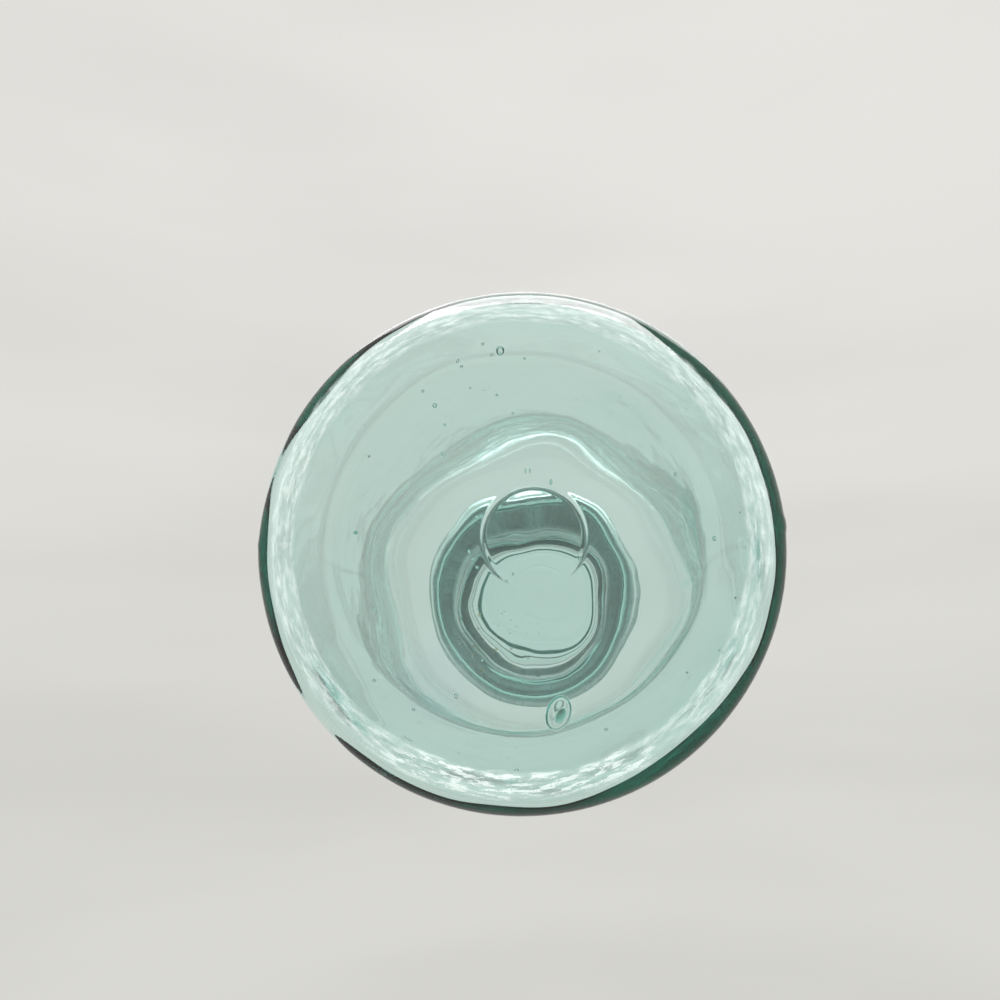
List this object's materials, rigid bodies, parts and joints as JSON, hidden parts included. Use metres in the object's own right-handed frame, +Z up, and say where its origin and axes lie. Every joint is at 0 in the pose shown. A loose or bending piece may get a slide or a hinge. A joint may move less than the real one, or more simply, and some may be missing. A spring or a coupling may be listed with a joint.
{
  "type": "screw-top glass preserving jar",
  "caption": "Round blown-glass preserving jar with a pressed glass lid, an open zinc screw band and a rubber sealing ring; stands on a ring at its heel.",
  "frame": {"origin": "middle of the resting ring under the base, on the surface the jar stands on", "axes": "+Z up through the mouth; the mould seams are at +X and -X, and the neck thread starts over +X"},
  "size_m": [0.0992, 0.0986, 0.1779],
  "materials": {
    "aqua_glass": "clear blue-green glass, blown for the jar and pressed for the lid, worn on the resting ring",
    "rubber": "dull buff jar rubber, a little browned with age",
    "zinc": "rolled zinc sheet gone dull grey"
  },
  "bodies": {
    "jar": {"glass_jar": "aqua_glass", "rubber_ring": "rubber"},
    "lid": {"glass_lid": "aqua_glass"},
    "band": {"screw_band": "zinc"}
  },
  "joints": [
    {"name": "lid_lift", "type": "slide", "parent": "jar", "child": "lid", "axis": [0, 0, 1], "range_m": [0, 0.02795]},
    {"name": "band_turn", "type": "hinge", "parent": "lid", "child": "band", "pos_m": [0, 0, 0.165], "axis": [0, 0, 1], "range_deg": [0, 1980]}
  ],
  "couplings": [
    {"joint": "lid_lift", "follows": "band_turn", "m_per_rad": 0.00080851}
  ]
}
